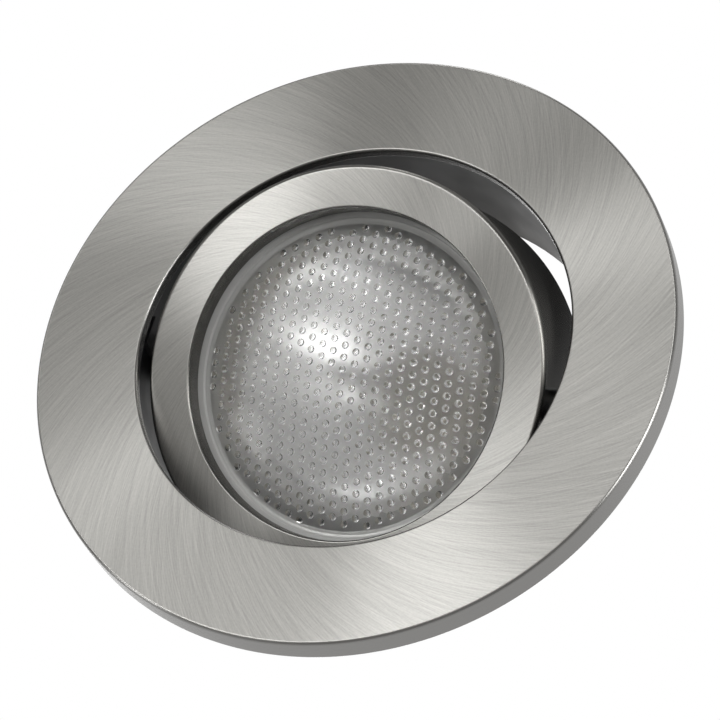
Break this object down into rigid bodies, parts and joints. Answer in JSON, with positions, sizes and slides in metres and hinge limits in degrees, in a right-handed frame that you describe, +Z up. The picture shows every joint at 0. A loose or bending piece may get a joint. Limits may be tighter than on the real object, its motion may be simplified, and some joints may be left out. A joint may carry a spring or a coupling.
{
  "type": "recessed spotlight",
  "caption": "Round recessed ceiling spotlight: flat brushed trim ring, tilting gimbal with a stippled-lens reflector lamp, twist-on ceramic holder and sprung ceiling clips.",
  "frame": {"origin": "centre of the ceiling plane, on the axis of the trim ring, where the back edge of its rim meets the ceiling board", "axes": "+Z up into the ceiling void, away from the lit side; +X along the tilt axis; the lamp leans its beam towards +Y at rest"},
  "size_m": [0.092, 0.092, 0.0737],
  "materials": {
    "brushed_nickel": "brushed satin nickel",
    "collar_grey": "satin dark grey",
    "zinc_steel": "bright zinc plate",
    "spring_steel": "polished spring steel",
    "black_nylon": "moulded black",
    "pad_silicone": "matte translucent white",
    "seat_aluminium": "satin",
    "lens_glass": "clear, stippled front",
    "reflector_mirror": "aluminised pressed glass",
    "quartz": "clear quartz",
    "tungsten": "dull metal",
    "ceramic": "matte off-white",
    "contact_brass": "nickel-plated brass"
  },
  "bodies": {
    "trim": {"trim_ring": "brushed_nickel", "collar": "collar_grey", "trim_screws": "zinc_steel", "pivot_bush_left": "black_nylon", "pivot_bush_right": "black_nylon", "clip_bracket_1": "zinc_steel", "clip_bracket_2": "zinc_steel", "clip_axle_1": "zinc_steel", "clip_axle_2": "zinc_steel", "clip_spring_1": "spring_steel", "clip_spring_2": "spring_steel"},
    "gimbal": {"gimbal_ring": "brushed_nickel", "pivot_pin_left": "zinc_steel", "pivot_pin_right": "zinc_steel", "friction_washer_left": "zinc_steel", "friction_washer_right": "zinc_steel", "pin_retainer_left": "zinc_steel", "pin_retainer_right": "zinc_steel", "lamp_seat_ring": "seat_aluminium", "lamp_circlip": "spring_steel", "lamp_lens": "lens_glass", "lamp_reflector": "reflector_mirror", "lamp_capsule": "quartz", "lamp_filament": "tungsten", "lamp_base": "ceramic", "lamp_pins": "contact_brass"},
    "holder": {"holder_body": "ceramic", "holder_cover": "ceramic", "holder_contacts": "contact_brass", "holder_screws": "zinc_steel"},
    "clip_1": {"clip_arm_1": "spring_steel", "clip_pad_1": "pad_silicone"},
    "clip_2": {"clip_arm_2": "spring_steel", "clip_pad_2": "pad_silicone"}
  },
  "joints": [
    {"name": "gimbal_tilt", "type": "hinge", "parent": "trim", "child": "gimbal", "pos_m": [0, 0, 0.0079], "axis": [1, 0, 0], "range_deg": [-51.26, 8.74]},
    {"name": "holder_twist", "type": "hinge", "parent": "gimbal", "child": "holder", "pos_m": [0, -0.01276, 0.0407], "axis": [0, -0.3626, 0.9319], "range_deg": [0, 30]},
    {"name": "clip_1_fold", "type": "hinge", "parent": "trim", "child": "clip_1", "pos_m": [-0.02757, 0.02482, 0.014], "axis": [0.6691, 0.7431, 0], "range_deg": [0, 156], "stiffness_Nm_per_rad": 0.02, "springref_deg": -34.38, "deforming": ["clip_spring_1"]},
    {"name": "clip_2_fold", "type": "hinge", "parent": "trim", "child": "clip_2", "pos_m": [0.02757, -0.02482, 0.014], "axis": [-0.6691, -0.7431, 0], "range_deg": [0, 156], "stiffness_Nm_per_rad": 0.02, "springref_deg": -34.38, "deforming": ["clip_spring_2"]}
  ]
}
